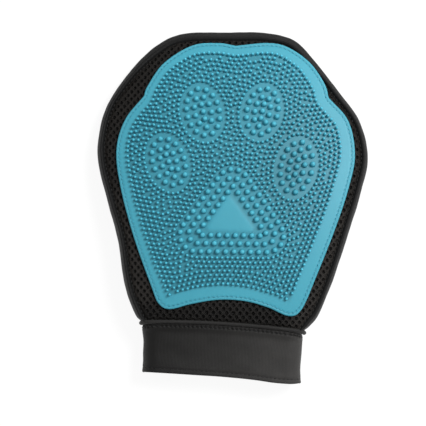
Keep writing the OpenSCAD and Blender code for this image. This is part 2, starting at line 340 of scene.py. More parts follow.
class Shape:
    """Collects points and faces of one piece."""

    def __init__(self):
        self.points, self.faces, self.uv, self.tone = [], [], [], []
        self.count = 0

    def add(self, points, faces, uv=None, tone=1.0):
        points = np.asarray(points, float).reshape(-1, 3)
        self.tone.append(np.broadcast_to(tone, len(points)))
        self.faces += [[i + self.count for i in f] for f in faces]
        self.points.append(points)
        self.uv.append(points[:, :2] if uv is None else np.asarray(uv, float).reshape(-1, 2))
        self.count += len(points)

    def make(self, name, material, light=None):
        points, tone = np.vstack(self.points), np.concatenate(self.tone)
        if light:
            tone = tone * light(*points[:, :2].T)
        return make(name, points, self.faces, material, np.vstack(self.uv), tone)


def grid_faces(rows, columns, wrap_rows=False, wrap_columns=False):
    """Quads of a grid of points that is stored row after row."""
    faces = []
    for i in range(rows if wrap_rows else rows - 1):
        for j in range(columns if wrap_columns else columns - 1):
            k, l = (i + 1) % rows, (j + 1) % columns
            faces.append((i * columns + j, i * columns + l, k * columns + l, k * columns + j))
    return faces


def capped(rows, columns):
    """Faces of a tube that is stored ring after ring, with both its ends closed."""
    faces = grid_faces(rows, columns, wrap_columns=True)
    faces.append(tuple(range(columns))[::-1])
    faces.append(tuple((rows - 1) * columns + j for j in range(columns)))
    return faces


def flipped(faces):
    return [f[::-1] for f in faces]


def filled(ring, step, height):
    """Triangles that fill a ring on a grid of so many millimetres, lifted by height(x, y)."""
    low, high = ring.min(0), ring.max(0)
    xs = np.arange(low[0], high[0], step)
    ys = np.arange(low[1], high[1], step * 0.87)
    gx, gy = np.meshgrid(xs, ys)
    gx[1::2] += step / 2
    spots = np.column_stack([gx.ravel(), gy.ravel()])
    spots = spots[depth_in(spots, ring) > step * 0.6]
    count = len(ring)
    border = [(i, (i + 1) % count) for i in range(count)]
    flat = np.vstack([ring, spots])
    out = delaunay_2d_cdt([Vector(p) for p in flat], border, [], 1, 1e-6)
    plan = np.array([tuple(p) for p in out[0]])
    return raised(plan, height), [tuple(f) for f in out[2]]


def stand(shape, spots, up, profile, sides, tones):
    """Stands a turned shape at each spot. The profile is (radius, height) pairs from its foot,
    and the tones are the painted shade at its foot and the painted highlight at its tip."""
    side = normed(np.cross(up, [0, 1, 0]))
    ahead = np.cross(up, side)
    turn = np.arange(sides) * 2 * math.pi / sides
    rings = [
        np.column_stack([r * np.cos(turn), r * np.sin(turn), np.full(sides, h)])
        for r, h in profile[:-1]
    ]
    local = np.vstack([[0, 0, profile[0][1]]] + rings + [[0, 0, profile[-1][1]]])
    rows = len(rings)
    faces = [(0, 1 + (j + 1) % sides, 1 + j) for j in range(sides)]
    faces += [tuple(1 + i for i in f) for f in grid_faces(rows, sides, wrap_columns=True)]
    last, top = 1 + (rows - 1) * sides, 1 + rows * sides
    faces += [(last + j, last + (j + 1) % sides, top) for j in range(sides)]
    # Painted shade darkens the foot, and a painted highlight lightens the tip.
    tone = tones[0] + (tones[1] - tones[0]) * rise(local[:, 2] / profile[-1][1], 0.4, 1)
    for p, u, v, n in zip(spots, side, ahead, up):
        shape.add(p + local[:, :1] * u + local[:, 1:2] * v + local[:, 2:] * n, faces, tone=tone)


def stitches(shape, spots, along, up, length, thick, sides=8):
    """Plump stitches: each a short rounded thread that sinks in at both ends."""
    share = np.array([-0.5, -0.42, -0.2, 0.0, 0.2, 0.42, 0.5])
    girth = np.array([0.35, 0.75, 1.0, 1.05, 1.0, 0.75, 0.35])
    sink = np.array([-0.62, -0.3, -0.02, 0.05, -0.02, -0.3, -0.62])
    turn = np.arange(sides) * 2 * math.pi / sides
    faces = flipped(capped(len(share), sides))
    for p, a, n in zip(spots, along, up):
        side = np.cross(n, a)
        rings = [
            p + a * length * s + n * thick * z
            + thick / 2 * g * (np.cos(turn)[:, None] * side + np.sin(turn)[:, None] * n)
            for s, g, z in zip(share, girth, sink)
        ]
        shape.add(np.vstack(rings), faces)


# -------------------------------- materials

def new_material(name, color, roughness, specular=0.5):
    mat = bpy.data.materials.new(name)
    mat.use_nodes = True
    shader = mat.node_tree.nodes["Principled BSDF"]
    shader.inputs["Base Color"].default_value = (*color, 1)
    shader.inputs["Roughness"].default_value = roughness
    shader.inputs["Specular IOR Level"].default_value = specular
    return mat, mat.node_tree, shader


def node(tree, kind, **values):
    made = tree.nodes.new(kind)
    for key, value in values.items():
        if key in made.inputs:
            made.inputs[key].default_value = value
        else:
            setattr(made, key, value)
    return made


def tinted(tree, shader, fac, dark, light):
    """Colour between two tones, by a factor."""
    ramp = node(tree, "ShaderNodeValToRGB")
    ramp.color_ramp.elements[0].color = (*dark, 1)
    ramp.color_ramp.elements[1].color = (*light, 1)
    tree.links.new(fac, ramp.inputs["Fac"])
    tree.links.new(ramp.outputs["Color"], shader.inputs["Base Color"])
    return ramp


def toned(tree, shader, fac, dark, light):
    """Colour between two tones, darkened or lightened by the painted light and shade in the piece's
    tone.
    """
    ramp = tinted(tree, shader, fac, dark, light)
    tone = node(tree, "ShaderNodeAttribute", attribute_name="tone")
    shade = node(tree, "ShaderNodeVectorMath", operation="SCALE")
    tree.links.new(ramp.outputs["Color"], shade.inputs["Vector"])
    tree.links.new(tone.outputs["Fac"], shade.inputs["Scale"])
    tree.links.new(shade.outputs["Vector"], shader.inputs["Base Color"])


def bumped(tree, shader, height, strength, distance):
    bump = node(tree, "ShaderNodeBump", Strength=strength, Distance=distance * MM)
    tree.links.new(height, bump.inputs["Height"])
    tree.links.new(bump.outputs["Normal"], shader.inputs["Normal"])


def noise_at(tree, coordinates, size, detail=3.0):
    """Noise whose features are about so many millimetres across."""
    made = node(tree, "ShaderNodeTexNoise", Scale=1 / (size * MM), Detail=detail)
    tree.links.new(coordinates, made.inputs["Vector"])
    return made


def maths(tree, operation, a, b=None):
    made = node(tree, "ShaderNodeMath", operation=operation)
    for socket, value in zip(made.inputs, (a, b)):
        if value is None:
            continue
        if isinstance(value, (int, float)):
            socket.default_value = value
        else:
            tree.links.new(value, socket)
    return made.outputs["Value"]


def place(tree):
    return node(tree, "ShaderNodeTexCoord").outputs["Object"]


def knit(tree, wale, course):
    """Height of jersey loops from a piece's own UVs, which are in millimetres."""
    uv = node(tree, "ShaderNodeTexCoord").outputs["UV"]
    split = node(tree, "ShaderNodeSeparateXYZ")
    tree.links.new(uv, split.inputs["Vector"])
    across = maths(tree, "MULTIPLY", split.outputs["X"], 1 / wale)
    bend = maths(tree, "PINGPONG", across, 0.5)
    rows = maths(tree, "ADD", maths(tree, "MULTIPLY", split.outputs["Y"], 1 / course), bend)
    ribs = maths(tree, "SINE", maths(tree, "MULTIPLY", across, 2 * math.pi))
    loops = maths(tree, "SINE", maths(tree, "MULTIPLY", rows, 2 * math.pi))
    return maths(tree, "ADD", ribs, loops)


def rubber():
    mat, tree, shader = new_material("rubber", (0.07, 0.40, 0.53), 0.48, 0.4)
    shader.inputs["Subsurface Weight"].default_value = 0.10
    shader.inputs["Subsurface Radius"].default_value = (0.4, 0.9, 1.0)
    shader.inputs["Subsurface Scale"].default_value = 0.8 * MM
    cloud = noise_at(tree, place(tree), 26, 4)
    toned(tree, shader, cloud.outputs["Fac"], (0.058, 0.37, 0.485), (0.070, 0.42, 0.545))
    grain = noise_at(tree, place(tree), 0.5, 2)
    bumped(tree, shader, grain.outputs["Fac"], 0.15, 0.05)
    return mat


def thread(name, dark, light):
    mat, tree, shader = new_material(name, light, 0.55, 0.4)
    twist = node(tree, "ShaderNodeTexWave", Scale=1 / (0.9 * MM), Distortion=0.4)
    twist.bands_direction = "DIAGONAL"
    tree.links.new(place(tree), twist.inputs["Vector"])
    tinted(tree, shader, twist.outputs["Fac"], dark, light)
    bumped(tree, shader, twist.outputs["Fac"], 0.5, 0.12)
    return mat


def air_mesh():
    mat, tree, shader = new_material("air_mesh", (0.01, 0.01, 0.01), 0.5, 0.12)
    fibre = noise_at(tree, place(tree), 0.7, 3)
    toned(tree, shader, fibre.outputs["Fac"], (0.006, 0.0056, 0.005), (0.018, 0.016, 0.0145))
    yarn = node(tree, "ShaderNodeTexWave", Scale=1 / (2.2 * MM), Distortion=3.0, Detail=2.0)
    yarn.bands_direction = "DIAGONAL"
    tree.links.new(place(tree), yarn.inputs["Vector"])
    bumped(tree, shader, yarn.outputs["Fac"], 0.6, 0.25)
    return mat


def jersey(name, dark, light, wale, sheen, roughness, specular):
    mat, tree, shader = new_material(name, light, roughness, specular)
    shader.inputs["Sheen Weight"].default_value = sheen
    shader.inputs["Sheen Roughness"].default_value = 0.4
    tone = noise_at(tree, place(tree), 9, 5)
    toned(tree, shader, tone.outputs["Fac"], dark, light)
    loops = knit(tree, wale, wale * 0.8)
    fuzz = noise_at(tree, place(tree), 0.6, 2)
    height = maths(tree, "ADD", loops, maths(tree, "MULTIPLY", fuzz.outputs["Fac"], 1.5))
    bumped(tree, shader, height, 0.35, 0.08)
    return mat


RUBBER = rubber()
PAD_THREAD = thread("pad_thread", (0.05, 0.31, 0.42), (0.065, 0.38, 0.50))
BLACK_THREAD = thread("black_thread", (0.004, 0.004, 0.004), (0.016, 0.016, 0.016))
AIR_MESH = air_mesh()
BAND = jersey("band_jersey", (0.004, 0.004, 0.004), (0.009, 0.0088, 0.0085), 1.1, 0.03,
              0.58, 0.22)
CUFF = jersey("cuff_jersey", (0.016, 0.0155, 0.015), (0.026, 0.025, 0.024), 1.0, 0.08,
              0.62, 0.25)


# -------------------------------- brushing pad

STITCH_INSET, STITCH_PITCH = 2.1, 3.0
PAD_STITCH, PAD_STITCH_LIFT = (1.9, 0.6), 0.12  # length and thickness; height over the face
# Needle holes: how far each dip reaches, how deep it sinks, and how much painted shade darkens it
HOLE_REACH, HOLE_SINK, HOLE_SHADE = 0.75, 0.22, 0.22
GROOVE_REACH, GROOVE_SINK = 0.8, 0.06
ISLAND_RISE, ISLAND_ROUND = 0.3, 2.0
# The pad's face: the margin's tone, then painted shade among the nubs and painted shade between the
# bristles
MARGIN_TONE, ZONE_SHADE, FIELD_SHADE = 0.98, 0.77, 0.69
# The rim's section as (way in from the edge, height over the palm), then rings on the pad's face
RIM = [(0.5, 0.06), (0.1, 0.3), (0.0, 0.8), (0.1, 1.25), (0.42, 1.58), (0.9, 1.72)]
RIM_RINGS = 1.3, 1.7, 1.9, 2.1, 2.3, 2.6, 3.0, 3.8
FACE_STEP, UNDER_STEP = 1.35, 7.0
# Bare margin round the bristles, a little wider at the pad's lower right
MARGIN, MARGIN_SKEW, MARGIN_BLUR = 9.4, 1.25, 61
ZONE_GAP = 1.0
# Least distances, in shares of the pitch: along the outlines, in the rows, and in what is left
OUTLINE_SHARE, ROW_SHARE, REST_SHARE = 0.8, 0.93, 0.84
EVEN_SHARE, EVEN_STEP, EVEN_ROUNDS = 1.02, 0.22, 40
# Each turned shape as (radius, height) from its foot; how deep it is sunk; painted shade at its
# foot and painted highlight at its tip
NUB_PROFILE = [
    (2.35, 0), (2.1, 0.5), (1.9, 1.1), (1.74, 2.1), (1.52, 2.85), (1.15, 3.35), (0.6, 3.62),
    (0, 3.7),
]
NUB_SINK, NUB_SIDES, NUB_SHADING = 0.5, 14, (0.80, 1.24)
BRISTLE_PROFILE = [
    (1.4, 0), (1.17, 0.45), (1.04, 1.1), (0.93, 2.3), (0.78, 2.85), (0.43, 3.18), (0, 3.28),
]
BRISTLE_SINK, BRISTLE_SIDES, BRISTLE_SHADING = 0.35, 8, (0.66, 1.42)
BRISTLE_STRAY, BRISTLE_LEAN = 0.06, 0.03

pad_stitch_line = inset(pad_edge, STITCH_INSET)
stitch_spots, stitch_turns = ring_at(pad_stitch_line, STITCH_PITCH)
needle_holes = ring_at(pad_stitch_line, STITCH_PITCH, 0)[0]


def near_hole(p):
    """1 at a needle hole, falling to 0 within a millimetre or so of it."""
    d = np.linalg.norm(p[:, None] - needle_holes[None], axis=2).min(axis=1)
    return np.exp(-(d / HOLE_REACH) ** 2)


def pad_light(x, y):
    """Painted light makes the pad a little lighter by the fingertips, and painted shade darkens it
    round its right toe.
    """
    toe_shade = np.exp(-((x - 38) / 14) ** 2 - ((y - 27) / 22) ** 2)
    return 1 + 0.06 * rise(y, 60, 108) - 0.2 * toe_shade


def bristle_field():
    """The outline of the bristles' field, and of each zone that they leave free."""
    n = outward(pad_edge, True)
    margin = MARGIN + MARGIN_SKEW * n[:, 0] - MARGIN_SKEW * n[:, 1]
    half = MARGIN_BLUR // 2
    margin = np.convolve(np.concatenate([margin[-half:], margin, margin[:half]]),
                         np.ones(MARGIN_BLUR) / MARGIN_BLUR, "valid")
    field = inset(pad_edge, margin)
    field = field[depth_in(field, pad_edge) > margin - 0.4]
    zones = [ellipse(t, ZONE_GAP, 90) for t in TOES]
    zones.append(rounded_triangle(HEEL, HEEL_REACH, HEEL_ROUND))
    return resample(np.vstack([field, field[:1]]), 1.0)[:-1], zones


field_ring, free_zones = bristle_field()


class Room:
    """How far each place is inside the bristles' field, looked up on a millimetre grid."""

    def __init__(self):
        self.low = pad_edge.min(0) - 2
        size = np.ceil(pad_edge.max(0) + 2 - self.low).astype(int)
        gx, gy = np.meshgrid(np.arange(size[0]), np.arange(size[1]), indexing="ij")
        p = np.column_stack([gx.ravel(), gy.ravel()]) + self.low
        room = depth_in(p, field_ring)
        for zone in free_zones:
            room = np.minimum(room, -depth_in(p, zone))
        self.grid = room.reshape(gx.shape)

    def at(self, p):
        q = np.clip(p - self.low, 0, np.array(self.grid.shape) - 1.001)
        i, j = q.astype(int).T
        u, v = (q - np.column_stack([i, j])).T
        g = self.grid
        return ((g[i, j] * (1 - u) + g[i + 1, j] * u) * (1 - v)
                + (g[i, j + 1] * (1 - u) + g[i + 1, j + 1] * u) * v)


room = Room()


def island_depth(p):
    """Distance inside the heel's plain triangle."""
    return depth_in(p, rounded_triangle(ISLAND, 0, ISLAND_ROUND))


def pad_relief(x, y):
    """What stands up or sinks in on the pad's face, apart from bristles and nubs."""
    p = np.column_stack([x, y])
    relief = ISLAND_RISE * rise(island_depth(p), -2.0, 2.0)
    line = nearest(p, pad_stitch_line)[1]
    relief -= GROOVE_SINK * np.exp(-(line / GROOVE_REACH) ** 2)
    near = line < 2.5
    if near.any():
        relief[near] -= HOLE_SINK * near_hole(p[near])
    return relief


def pad_height(x, y):
    return dome(x, y) + PAD_T + pad_relief(x, y)


def pad_rim(shape):
    """The pad's rounded edge, and its face as far in as the stitches reach."""
    rings = [(d, over_palm(lift)) for d, lift in RIM] + [(d, pad_height) for d in RIM_RINGS]
    points = np.vstack([raised(inset(pad_edge, d), height) for d, height in rings])
    # Painted shade darkens the rim round each needle hole.
    shape.add(points, grid_faces(len(rings), len(pad_edge), wrap_columns=True),
              tone=1 - HOLE_SHADE * near_hole(points[:, :2]))


def build_pad_sheet():
    shape = Shape()
    pad_rim(shape)
    top, faces = filled(inset(pad_edge, RIM_RINGS[-1]), FACE_STEP, pad_height)
    plan = top[:, :2]
    # Painted shade darkens the ground among the nubs and between the bristles. The plain triangle
    # keeps the margin's tone.
    zone = np.where(depth_in(plan, field_ring) > 0, ZONE_SHADE, MARGIN_TONE)
    zone += (MARGIN_TONE - ZONE_SHADE) * rise(island_depth(plan), -1, 1)
    tone = zone + (FIELD_SHADE - zone) * rise(room.at(plan), -2.2, 0.8)
    shape.add(top, faces, tone=tone)
    under, faces = filled(inset(pad_edge, RIM[0][0]), UNDER_STEP, over_palm(RIM[0][1]))
    shape.add(under, flipped(faces))
    return shape.make("brushing_pad", RUBBER, pad_light)


def toe_places(toe):
    """Two rings of nubs that start at opposite ends, and three in the middle."""
    turn = np.linspace(0, 2 * math.pi, 120, endpoint=False)
    rings = []
    for k, end in ((0, 1), (1, -1)):
        a, b = (size / 2 - TOE_RIM - k * TOE_RING for size in toe[1:3])
        path = end * np.column_stack([a * np.sin(turn), b * np.cos(turn)])
        rings.append(ring_at(path, TOE_PITCH, 0)[0])
    middle = [(0, k * TOE_MIDDLE) for k in (-1, 0, 1)]
    return in_toe(toe, *np.vstack(rings + [middle]).T)


def heel_places():
    """Three rounded rows of nubs round the plain triangle, counted from its top corner."""
    rows = []
    for k, radius in enumerate(HEEL_ROUNDING):
        ring = rounded_triangle(HEEL, HEEL_FIRST_ROW + k * NUB_ROW, radius)
        ring = np.roll(ring, -np.argmax(ring[:, 1]), axis=0)
        rows.append(ring_at(ring, NUB_PITCH, 0 if k == 0 else 0.5)[0])
    return np.vstack(rows)


def spacing(points):
    """The bristles stand a little wider apart towards the fingertips."""
    return 1 + 0.10 * rise(points[:, 1], 70, 108)


def bristle_rows(d):
    """Every row that lies so far inside the field's edge or outside a zone."""
    rows = [inset(field_ring, d)] + [ellipse(t, ZONE_GAP + d, 240) for t in TOES]
    rows.append(rounded_triangle(HEEL, HEEL_REACH + d, HEEL_ROUND + d))
    return rows


def bristle_places():
    """Rows that follow the field's edge and the zones, evened out where they meet."""
    taken, found = {}, []
    cell = BRISTLE_PITCH

    def accept(points, share):
        for p, far in zip(points, share * BRISTLE_PITCH * spacing(points)):
            cx, cy = int(p[0] // cell), int(p[1] // cell)
            around = [(cx + a, cy + b) for a in (-1, 0, 1) for b in (-1, 0, 1)]
            close = (q for spot in around for q in taken.get(spot, ()))
            if all((p[0] - q[0]) ** 2 + (p[1] - q[1]) ** 2 >= far ** 2 for q in close):
                taken.setdefault((cx, cy), []).append(tuple(p))
                found.append(p)

    rings = [ring_at(r, BRISTLE_PITCH)[0] for r in [field_ring] + free_zones]
    accept(np.vstack([r[np.abs(room.at(r)) < 0.6] for r in rings]), OUTLINE_SHARE)
    fixed = len(found)
    for k in range(1, 9):
        for row in bristle_rows(k * BRISTLE_ROW):
            row = resample(np.vstack([row, row[:1]]), 0.3)
            accept(row[np.abs(room.at(row) - k * BRISTLE_ROW) < 0.35], ROW_SHARE)
    low, high = field_ring.min(0), field_ring.max(0)
    gx, gy = np.meshgrid(np.arange(low[0], high[0], 0.5), np.arange(low[1], high[1], 0.5))
    rest = np.column_stack([gx.ravel(), gy.ravel()])
    accept(rest[room.at(rest) > 0.3], REST_SHARE)
    return evened_out(np.array(found), fixed)


def evened_out(p, fixed):
    """Pushes apart what stands too close, all but the first so many, inside the field."""
    reach = EVEN_SHARE * BRISTLE_PITCH * spacing(p)[:, None]
    for _ in range(EVEN_ROUNDS):
        gap = p[:, None] - p[None]
        d = np.linalg.norm(gap, axis=2) + np.eye(len(p)) * 100
        push = np.where(d < reach, (reach - d) / d, 0)[..., None] * gap
        step = EVEN_STEP * push.sum(1)
        step[:fixed] = 0
        moved = p + step
        free = (room.at(moved) > 0.2) | (np.arange(len(p)) < fixed)
        p = np.where(free[:, None], moved, p)
    return p


def on_pad(spots, lift):
    """Places so far over the pad's face, and the way out of the palm there."""
    up = dome_normal(*spots.T)
    return raised(spots, pad_height) + lift * up, up


def build_nubs():
    nubs = Shape()
    at, up = on_pad(np.vstack([toe_places(t) for t in TOES] + [heel_places()]), -NUB_SINK)
    stand(nubs, at, up, NUB_PROFILE, NUB_SIDES, NUB_SHADING)
    return nubs.make("massage_nubs", RUBBER, pad_light)


def build_bristles():
    chance = np.random.default_rng(7)
    bristles = Shape()
    spots = bristle_places()
    at, up = on_pad(spots + chance.normal(0, BRISTLE_STRAY, spots.shape), -BRISTLE_SINK)
    tilt = chance.normal(0, BRISTLE_LEAN, (len(up), 2))
    lean = normed(up + np.column_stack([tilt, np.zeros(len(up))]))
    stand(bristles, at, lean, BRISTLE_PROFILE, BRISTLE_SIDES, BRISTLE_SHADING)
    return bristles.make("fine_bristles", RUBBER, pad_light)


def build_pad_seam():
    at, up = on_pad(stitch_spots, PAD_STITCH_LIFT)
    along = np.column_stack([np.cos(stitch_turns), np.sin(stitch_turns), np.zeros(len(at))])
    along -= up * np.sum(along * up, axis=1)[:, None]
    seam = Shape()
    stitches(seam, at, along, up, *PAD_STITCH)
    return seam.make("pad_seam_thread", PAD_THREAD)


def build_pad():
    on_mitt(build_pad_sheet(), "grooming_pad")
    on_mitt(build_nubs())
    on_mitt(build_bristles())
    on_mitt(build_pad_seam(), "pad_stitching")


# -------------------------------- air mesh panels

HOLE_W, HOLE_H = 0.95, 1.25
CELL_W, CELL_ROW = 4.4, 2.6
# From a cell's border in to its hole's floor: tone, and height over the panel; the tones paint
# light on the border and shade down in the hole
NET_CELL_SHADING = 1.35, 1.35, 0.9, 0.25, 0.2
NET_LIFTS = -0.3, 0.14, -0.12, -0.95, -1.0
NET_CREST, HOLE_FOOT = 0.45, 0.9
NET_ROLL, NET_ROLL_REACH = 1.1, 2.2
NET_OVERLAP = 1.2
NET_WRIST_SHADE = 0.5
PALM_AHEAD, BACK_AHEAD = 5.0, 8.6  # from the wrist line to each panel's end
LINING_INSET = 0.5


def net_light(x, y):
    """Painted shade darkens the mesh by the wrist, and painted light lightens it low down on its
    two sides.
    """
    wrist = NET_WRIST_SHADE + (1 - NET_WRIST_SHADE) * rise(y, -74, -58)
    low = 1 - rise(y, -10, 25)
    right = low * rise(x, 25, 50)
    left = low * rise(-x, 40, 58) * rise(y, -72, -60)
    return np.maximum(wrist, 1.6 * right) * (1 + 0.5 * left)


def net_cell(sides):
    """One hexagonal cell: rings of points from its border to its hole's foot."""
    corner = (CELL_W ** 2 / 4 + CELL_ROW ** 2) / 2
    reach = corner / CELL_ROW
    waist = (corner - CELL_W ** 2 / 4) / CELL_ROW
    six = np.array([(CELL_W / 2, -waist), (CELL_W / 2, waist), (0, reach), (-CELL_W / 2, waist),
                    (-CELL_W / 2, -waist), (0, -reach)])
    each = sides // 6
    border = np.vstack([
        six[i] + (six[(i + 1) % 6] - six[i]) * k / each for i in range(6) for k in range(each)
    ])
    angle = np.arctan2(border[:, 1] / HOLE_H, border[:, 0] / HOLE_W)
    hole = np.column_stack([HOLE_W * np.cos(angle), HOLE_H * np.sin(angle)])
    return [border, hole + NET_CREST * (border - hole), hole, hole * HOLE_FOOT]


def net(name, outline, hidden, height, sides, down=False):
    """A knitted net of oval holes: cells that share their borders, cut to an outline."""
    low, high = outline.min(0) - 5, outline.max(0) + 5
    centres = np.array([
        ((i + 0.5 * (j % 2)) * CELL_W, j * CELL_ROW)
        for j in range(int(low[1] // CELL_ROW), int(high[1] // CELL_ROW) + 1)
        for i in range(int(low[0] // CELL_W), int(high[0] // CELL_W) + 1)
    ])
    keep = depth_in(centres, outline) > -NET_OVERLAP
    if hidden is not None:
        keep &= depth_in(centres, hidden) < 0
    centres = centres[keep]

    rings = net_cell(sides)
    cell = np.vstack(rings + [np.zeros((1, 2))])
    sizes = [sides] * len(rings) + [1]
    foot, floor = len(cell) - 1 - sides, len(cell) - 1
    cell_faces = grid_faces(len(rings), sides, wrap_columns=True)
    cell_faces += [(foot + k, foot + (k + 1) % sides, floor) for k in range(sides)]
    faces = [tuple(c * len(cell) + k for k in f) for c in range(len(centres)) for f in cell_faces]

    plan = (centres[:, None] + cell).reshape(-1, 2)
    lift = np.tile(np.repeat(NET_LIFTS, sizes), len(centres))
    beyond = ~inside(plan, outline)
    plan[beyond] = nearest(plan[beyond], outline)[0]
    rim = nearest(plan, outline)[1]
    roll = NET_ROLL * (1 - rise(rim, 0, NET_ROLL_REACH))
    z = height(*plan.T) + (lift - roll) * (-1 if down else 1)
    if down:
        faces = flipped(faces)
    # Painted light on the cells' borders, painted shade down their holes, and the mesh's painted
    # light and shade.
    tone = np.tile(np.repeat(NET_CELL_SHADING, sizes), len(centres)) * net_light(*plan.T)
    obj = make(name, np.column_stack([plan, z]), faces, AIR_MESH, plan, tone)
    bm = bmesh.new()
    bm.from_mesh(obj.data)
    bmesh.ops.remove_doubles(bm, verts=bm.verts, dist=0.02 * MM)
    bmesh.ops.dissolve_degenerate(bm, edges=bm.edges, dist=0.005 * MM)
    bm.to_mesh(obj.data)
    bm.free()
    return obj


def panel_ring(d, ahead, arch):
    """A panel's outline: the mitt's edge moved in, closed by its wrist end."""
    side = edge_inset(d)
    side = side[side[:, 1] > wrist_at(side[:, 0]) + ahead]
    x = np.linspace(side[-1, 0], side[0, 0], 90)[1:-1]
    end = np.column_stack([x, wrist_at(x) + ahead + arch_at(x, arch)])
    return np.vstack([side, end])


def slab(name, ring, top, under, step, material):
    """A closed sheet between two surfaces, with a soft edge."""
    shape = Shape()
    mid = inset(ring, -0.35)
    outer = np.column_stack([mid, (top(*ring.T) + under(*ring.T)) / 2])
    upper, faces = filled(ring, step, top)
    shape.add(upper, faces)
    lower, faces = filled(ring, step, under)
    shape.add(lower, flipped(faces))
    count = len(ring)
    rows = [raised(ring, under), outer, raised(ring, top)]
    faces = grid_faces(3, count, wrap_columns=True)
    if np.cross(ring[1] - ring[0], ring[2] - ring[1]) < 0:
        faces = flipped(faces)
    shape.add(np.vstack(rows), faces)
    return shape.make(name, material)


def build_panel(side, ring, hidden, net_face, net_sides, top, under, step):
    """One side of the pocket: a knitted net over a plain lining."""
    cover = net(side + "_mesh", ring, hidden, net_face, net_sides, down=side == "back")
    lining = slab(side + "_lining", inset(ring, LINING_INSET), top, under, step, AIR_MESH)
    on_mitt(cover)
    on_mitt(lining, side + "_panel")
    return lining, cover


# -------------------------------- side band

BAND_GIRTH, BAND_PADDING = 28.0, 2.2
BAND_SEAM_GAP = 0.35
BAND_LAP = 1.7  # the band covers more of the palm over the fingertips
# Across the plan from left to right: places, then tones; painted shade on the band's left side,
# painted light on its middle and right
BAND_SIDE_SHADING = (-80, -20, 80), (0.4, 1.4, 1.2)
BAND_COLUMNS = 25
BAND_STITCH = 2.3, 0.6  # length and thickness
# The plump roll beside each seam: where in the section it is highest, its width and height
PALM_ROLL, BACK_ROLL = (0.10, 0.07, 0.85), (0.92, 0.06, 0.09)
SEAM_TUCK, TUCK_DEPTH, PUCKER_DEPTH = 0.045, 0.9, 0.35


def band_profile():
    """Section of the band: share of the bulge and of the height, from palm seam to back seam."""
    a = np.linspace(90, -90, BAND_COLUMNS)
    bulge = np.cos(np.radians(a)) ** 0.8
    high = 0.5 + 0.5 * np.sign(a) * np.abs(np.sin(np.radians(a))) ** 0.85
    return bulge, high


def band_face(reach):
    """The band's outer face, whose palm seam lies so far inside the mitt's edge."""
    bulge, high = band_profile()
    back_reach = BAND_BULGE + BAND_SEAM_GAP
    rows = []
    for p, m, h, palm_reach in zip(edge, edge_out, dome(*edge_inset(reach).T), reach):
        off = (back_reach + (palm_reach - back_reach) * rise(high, 0.5, 0.95)) * (1 - bulge)
        rows.append(np.column_stack([p[0] - m[0] * off, p[1] - m[1] * off, h * high]))
    outer = np.array(rows)
    share = np.linspace(0, 1, BAND_COLUMNS)
    palm_roll, back_roll = (
        high * np.exp(-((share - middle) / width) ** 2)
        for middle, width, high in (PALM_ROLL, BACK_ROLL)
    )
    tuck = np.exp(-(share / SEAM_TUCK) ** 2)
    pucker = 0.5 + 0.5 * np.cos(lengths(edge) * 2 * math.pi / STITCH_PITCH)
    outer[:, :, 2] += palm_roll + back_roll - tuck * TUCK_DEPTH
    outer[:, :, 2] -= (tuck * PUCKER_DEPTH)[None] * pucker[:, None]
    flat = outer.reshape(-1, 3)
    wave = (ripple(flat, 16, 1) * 0.35 + ripple(flat, 6, 2) * 0.14).reshape(outer.shape[:2])
    outer[:, :, :2] += edge_out[:, None, :] * (wave * np.sin(share * math.pi))[..., None]
    outer[:, :, 2] = np.maximum(outer[:, :, 2], 0.0)
    return outer, share


def build_band_seams(reach):
    """Lockstitch in the grooves on both sides of the band."""
    for name, node_name, z_at, up_z, way_in in (
        ("palm_seam_stitches", "palm_seam_thread", over_palm(-0.75), 1.0, reach + 0.1),
        ("back_seam_stitches", "back_seam_thread", level(0.55), -1.0, BAND_BULGE + 0.45),
    ):
        spots = resample(edge_inset(way_in), STITCH_PITCH)
        along = np.column_stack([normed(np.gradient(spots, axis=0)), np.zeros(len(spots))])
        shape = Shape()
        up = np.tile([0.0, 0.0, up_z], (len(spots), 1))
        stitches(shape, raised(spots, z_at), along, up, *BAND_STITCH)
        on_mitt(shape.make(name, BLACK_THREAD), node_name)


def build_band():
    """A padded strip with a plump roll beside each seam, pinched a little at every stitch."""
    runs = lengths(edge)
    reach = BAND_BULGE + BAND_SEAM_GAP + BAND_LAP * rise(edge[:, 1], 88, 112)
    outer, share = band_face(reach)
    inner = outer.copy()
    depth = BAND_PADDING * np.sin(share * math.pi) ** 0.5
    inner[:, :, :2] -= edge_out[:, None, :] * depth[None, :, None]
    inner[:, :, 2] -= BAND_PADDING * np.cos(share * math.pi)
    section = np.concatenate([outer, inner[:, ::-1][:, ::2]], axis=1)
    faces = flipped(capped(*section.shape[:2]))
    across = np.concatenate([share, share[::-1][::2]]) * BAND_GIRTH
    uv = np.stack(np.meshgrid(across, runs), axis=2).reshape(-1, 2)
    # Painted shade and painted light across the band, by x.
    tone = np.interp(section[:, :, 0], *BAND_SIDE_SHADING).ravel()
    band = make("side_band_cover", section.reshape(-1, 3), faces, BAND, uv, tone)
    on_mitt(band, "side_band")
    build_band_seams(reach)
    return band, runs[-1]


# -------------------------------- wrist piping and cuff

WELT_RISE = WELT_HIGH_Z - WELT_LOW_Z
WELT_MIDDLE_Z = (WELT_HIGH_Z + WELT_LOW_Z) / 2
WRIST_BOW = 0.7
CUFF_T, CUFF_H = 2.0, 22.0
CUFF_ROUND, CUFF_LONG = 250, 36  # round the cuff, and from the welt to the hem
CUFF_TAPER = (0, 0.1, 0.25, 0.5, 0.75, 1), (108.2, 108.2, 107.6, 106, 106, 107.2)
# Across the cuff from left to right: places, then tones; painted shade on its left, painted light
# on its right
CUFF_SIDE_SHADING = (-58, -40, -4, 30, 49), (0.35, 0.52, 1.0, 1.7, 2.1)
CUFF_STITCHES = 84
WRIST_ROW_V, HEM_ROW_V = 0.075, 0.935
